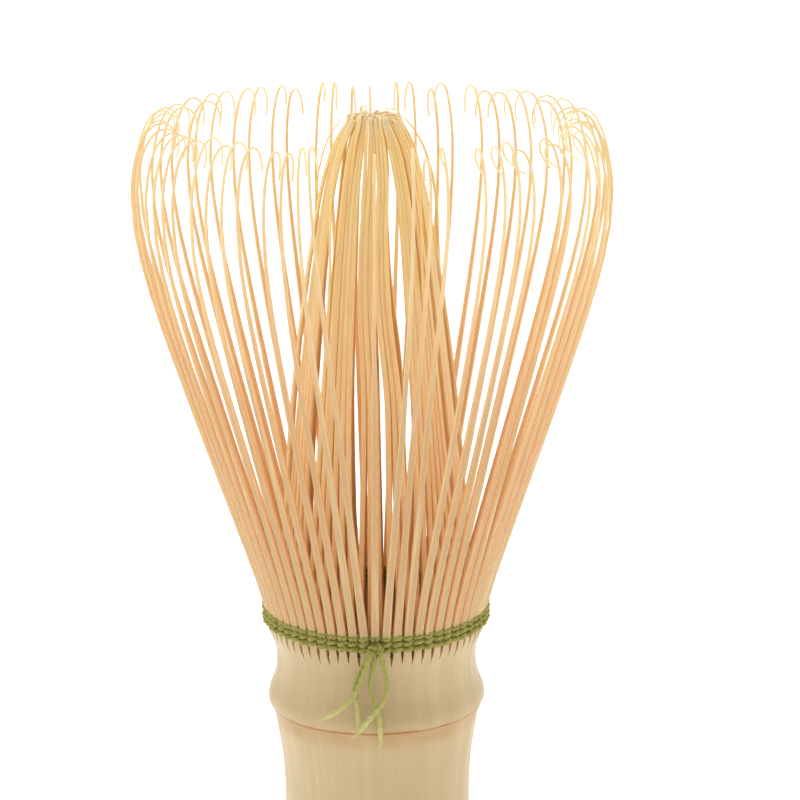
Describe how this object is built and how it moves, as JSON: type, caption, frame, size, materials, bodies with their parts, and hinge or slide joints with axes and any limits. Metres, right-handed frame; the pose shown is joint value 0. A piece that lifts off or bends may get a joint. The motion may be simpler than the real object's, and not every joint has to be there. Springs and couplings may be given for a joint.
{
  "type": "tea whisk",
  "caption": "Bamboo whisk for powdered tea: a culm handle split into a flared ring of curled tines around a centre bundle, bound with thread.",
  "frame": {"origin": "centre of the handle's flat base", "axes": "+Z along the culm to the tips of the tines, -Y towards the side with the thread's knot"},
  "size_m": [0.0575, 0.0573, 0.1174],
  "materials": {
    "bamboo_skin": "satin bamboo skin, pale straw, fine fibres along the culm",
    "bamboo_tine": "matt split bamboo, golden, fibres along each tine",
    "thread": "matt twisted cotton thread, olive green"
  },
  "bodies": {
    "culm": {"handle": "bamboo_skin", "binding_thread": "thread", "thread_knot": "thread", "thread_tail_left": "thread", "thread_tail_branch": "thread", "thread_tail_centre": "thread", "thread_tail_right": "thread"},
    "outer_group_01": {"outer_tines_01": "bamboo_tine"},
    "outer_group_02": {"outer_tines_02": "bamboo_tine"},
    "outer_group_03": {"outer_tines_03": "bamboo_tine"},
    "outer_group_04": {"outer_tines_04": "bamboo_tine"},
    "outer_group_05": {"outer_tines_05": "bamboo_tine"},
    "outer_group_06": {"outer_tines_06": "bamboo_tine"},
    "outer_group_07": {"outer_tines_07": "bamboo_tine"},
    "outer_group_08": {"outer_tines_08": "bamboo_tine"},
    "outer_group_09": {"outer_tines_09": "bamboo_tine"},
    "outer_group_10": {"outer_tines_10": "bamboo_tine"},
    "outer_group_11": {"outer_tines_11": "bamboo_tine"},
    "outer_group_12": {"outer_tines_12": "bamboo_tine"},
    "outer_group_13": {"outer_tines_13": "bamboo_tine"},
    "outer_group_14": {"outer_tines_14": "bamboo_tine"},
    "outer_group_15": {"outer_tines_15": "bamboo_tine"},
    "outer_group_16": {"outer_tines_16": "bamboo_tine"},
    "inner_group_01": {"inner_tines_01": "bamboo_tine"},
    "inner_group_02": {"inner_tines_02": "bamboo_tine"},
    "inner_group_03": {"inner_tines_03": "bamboo_tine"},
    "inner_group_04": {"inner_tines_04": "bamboo_tine"},
    "inner_group_05": {"inner_tines_05": "bamboo_tine"},
    "inner_group_06": {"inner_tines_06": "bamboo_tine"},
    "inner_group_07": {"inner_tines_07": "bamboo_tine"},
    "inner_group_08": {"inner_tines_08": "bamboo_tine"},
    "inner_group_09": {"inner_tines_09": "bamboo_tine"},
    "inner_group_10": {"inner_tines_10": "bamboo_tine"},
    "inner_group_11": {"inner_tines_11": "bamboo_tine"},
    "inner_group_12": {"inner_tines_12": "bamboo_tine"},
    "inner_group_13": {"inner_tines_13": "bamboo_tine"},
    "inner_group_14": {"inner_tines_14": "bamboo_tine"},
    "inner_group_15": {"inner_tines_15": "bamboo_tine"},
    "inner_group_16": {"inner_tines_16": "bamboo_tine"}
  },
  "joints": [
    {"name": "outer_flex_01", "type": "hinge", "parent": "culm", "child": "outer_group_01", "pos_m": [0.00197, -0.01325, 0.05693], "axis": [0.9892, 0.1467, 0], "range_deg": [-5, 8], "stiffness_Nm_per_rad": 0.045},
    {"name": "outer_flex_02", "type": "hinge", "parent": "culm", "child": "outer_group_02", "pos_m": [0.00689, -0.01149, 0.05693], "axis": [0.8577, 0.5141, 0], "range_deg": [-5, 8], "stiffness_Nm_per_rad": 0.045},
    {"name": "outer_flex_03", "type": "hinge", "parent": "culm", "child": "outer_group_03", "pos_m": [0.01076, -0.00798, 0.05693], "axis": [0.5957, 0.8032, 0], "range_deg": [-5, 8], "stiffness_Nm_per_rad": 0.045},
    {"name": "outer_flex_04", "type": "hinge", "parent": "culm", "child": "outer_group_04", "pos_m": [0.013, -0.00326, 0.05693], "axis": [0.243, 0.97, 0], "range_deg": [-5, 8], "stiffness_Nm_per_rad": 0.045},
    {"name": "outer_flex_05", "type": "hinge", "parent": "culm", "child": "outer_group_05", "pos_m": [0.01325, 0.00197, 0.05693], "axis": [-0.1467, 0.9892, 0], "range_deg": [-5, 8], "stiffness_Nm_per_rad": 0.045},
    {"name": "outer_flex_06", "type": "hinge", "parent": "culm", "child": "outer_group_06", "pos_m": [0.01149, 0.00689, 0.05693], "axis": [-0.5141, 0.8577, 0], "range_deg": [-5, 8], "stiffness_Nm_per_rad": 0.045},
    {"name": "outer_flex_07", "type": "hinge", "parent": "culm", "child": "outer_group_07", "pos_m": [0.00798, 0.01076, 0.05693], "axis": [-0.8032, 0.5957, 0], "range_deg": [-5, 8], "stiffness_Nm_per_rad": 0.045},
    {"name": "outer_flex_08", "type": "hinge", "parent": "culm", "child": "outer_group_08", "pos_m": [0.00326, 0.013, 0.05693], "axis": [-0.97, 0.243, 0], "range_deg": [-5, 8], "stiffness_Nm_per_rad": 0.045},
    {"name": "outer_flex_09", "type": "hinge", "parent": "culm", "child": "outer_group_09", "pos_m": [-0.00197, 0.01325, 0.05693], "axis": [-0.9892, -0.1467, 0], "range_deg": [-5, 8], "stiffness_Nm_per_rad": 0.045},
    {"name": "outer_flex_10", "type": "hinge", "parent": "culm", "child": "outer_group_10", "pos_m": [-0.00689, 0.01149, 0.05693], "axis": [-0.8577, -0.5141, 0], "range_deg": [-5, 8], "stiffness_Nm_per_rad": 0.045},
    {"name": "outer_flex_11", "type": "hinge", "parent": "culm", "child": "outer_group_11", "pos_m": [-0.01076, 0.00798, 0.05693], "axis": [-0.5957, -0.8032, 0], "range_deg": [-5, 8], "stiffness_Nm_per_rad": 0.045},
    {"name": "outer_flex_12", "type": "hinge", "parent": "culm", "child": "outer_group_12", "pos_m": [-0.013, 0.00326, 0.05693], "axis": [-0.243, -0.97, 0], "range_deg": [-5, 8], "stiffness_Nm_per_rad": 0.045},
    {"name": "outer_flex_13", "type": "hinge", "parent": "culm", "child": "outer_group_13", "pos_m": [-0.01325, -0.00197, 0.05693], "axis": [0.1467, -0.9892, 0], "range_deg": [-5, 8], "stiffness_Nm_per_rad": 0.045},
    {"name": "outer_flex_14", "type": "hinge", "parent": "culm", "child": "outer_group_14", "pos_m": [-0.01149, -0.00689, 0.05693], "axis": [0.5141, -0.8577, 0], "range_deg": [-5, 8], "stiffness_Nm_per_rad": 0.045},
    {"name": "outer_flex_15", "type": "hinge", "parent": "culm", "child": "outer_group_15", "pos_m": [-0.00798, -0.01076, 0.05693], "axis": [0.8032, -0.5957, 0], "range_deg": [-5, 8], "stiffness_Nm_per_rad": 0.045},
    {"name": "outer_flex_16", "type": "hinge", "parent": "culm", "child": "outer_group_16", "pos_m": [-0.00326, -0.013, 0.05693], "axis": [0.97, -0.243, 0], "range_deg": [-5, 8], "stiffness_Nm_per_rad": 0.045},
    {"name": "inner_flex_01", "type": "hinge", "parent": "culm", "child": "inner_group_01", "pos_m": [0.00229, -0.01152, 0.05693], "axis": [0.9808, 0.1951, 0], "range_deg": [0, 5], "stiffness_Nm_per_rad": 0.014},
    {"name": "inner_flex_02", "type": "hinge", "parent": "culm", "child": "inner_group_02", "pos_m": [0.00653, -0.00977, 0.05693], "axis": [0.8315, 0.5556, 0], "range_deg": [0, 5], "stiffness_Nm_per_rad": 0.014},
    {"name": "inner_flex_03", "type": "hinge", "parent": "culm", "child": "inner_group_03", "pos_m": [0.00977, -0.00653, 0.05693], "axis": [0.5556, 0.8315, 0], "range_deg": [0, 5], "stiffness_Nm_per_rad": 0.014},
    {"name": "inner_flex_04", "type": "hinge", "parent": "culm", "child": "inner_group_04", "pos_m": [0.01152, -0.00229, 0.05693], "axis": [0.1951, 0.9808, 0], "range_deg": [0, 5], "stiffness_Nm_per_rad": 0.014},
    {"name": "inner_flex_05", "type": "hinge", "parent": "culm", "child": "inner_group_05", "pos_m": [0.01152, 0.00229, 0.05693], "axis": [-0.1951, 0.9808, 0], "range_deg": [0, 5], "stiffness_Nm_per_rad": 0.014},
    {"name": "inner_flex_06", "type": "hinge", "parent": "culm", "child": "inner_group_06", "pos_m": [0.00977, 0.00653, 0.05693], "axis": [-0.5556, 0.8315, 0], "range_deg": [0, 5], "stiffness_Nm_per_rad": 0.014},
    {"name": "inner_flex_07", "type": "hinge", "parent": "culm", "child": "inner_group_07", "pos_m": [0.00653, 0.00977, 0.05693], "axis": [-0.8315, 0.5556, 0], "range_deg": [0, 5], "stiffness_Nm_per_rad": 0.014},
    {"name": "inner_flex_08", "type": "hinge", "parent": "culm", "child": "inner_group_08", "pos_m": [0.00229, 0.01152, 0.05693], "axis": [-0.9808, 0.1951, 0], "range_deg": [0, 5], "stiffness_Nm_per_rad": 0.014},
    {"name": "inner_flex_09", "type": "hinge", "parent": "culm", "child": "inner_group_09", "pos_m": [-0.00229, 0.01152, 0.05693], "axis": [-0.9808, -0.1951, 0], "range_deg": [0, 5], "stiffness_Nm_per_rad": 0.014},
    {"name": "inner_flex_10", "type": "hinge", "parent": "culm", "child": "inner_group_10", "pos_m": [-0.00653, 0.00977, 0.05693], "axis": [-0.8315, -0.5556, 0], "range_deg": [0, 5], "stiffness_Nm_per_rad": 0.014},
    {"name": "inner_flex_11", "type": "hinge", "parent": "culm", "child": "inner_group_11", "pos_m": [-0.00977, 0.00653, 0.05693], "axis": [-0.5556, -0.8315, 0], "range_deg": [0, 5], "stiffness_Nm_per_rad": 0.014},
    {"name": "inner_flex_12", "type": "hinge", "parent": "culm", "child": "inner_group_12", "pos_m": [-0.01152, 0.00229, 0.05693], "axis": [-0.1951, -0.9808, 0], "range_deg": [0, 5], "stiffness_Nm_per_rad": 0.014},
    {"name": "inner_flex_13", "type": "hinge", "parent": "culm", "child": "inner_group_13", "pos_m": [-0.01152, -0.00229, 0.05693], "axis": [0.1951, -0.9808, 0], "range_deg": [0, 5], "stiffness_Nm_per_rad": 0.014},
    {"name": "inner_flex_14", "type": "hinge", "parent": "culm", "child": "inner_group_14", "pos_m": [-0.00977, -0.00653, 0.05693], "axis": [0.5556, -0.8315, 0], "range_deg": [0, 5], "stiffness_Nm_per_rad": 0.014},
    {"name": "inner_flex_15", "type": "hinge", "parent": "culm", "child": "inner_group_15", "pos_m": [-0.00653, -0.00977, 0.05693], "axis": [0.8315, -0.5556, 0], "range_deg": [0, 5], "stiffness_Nm_per_rad": 0.014},
    {"name": "inner_flex_16", "type": "hinge", "parent": "culm", "child": "inner_group_16", "pos_m": [-0.00229, -0.01152, 0.05693], "axis": [0.9808, -0.1951, 0], "range_deg": [0, 5], "stiffness_Nm_per_rad": 0.014}
  ]
}
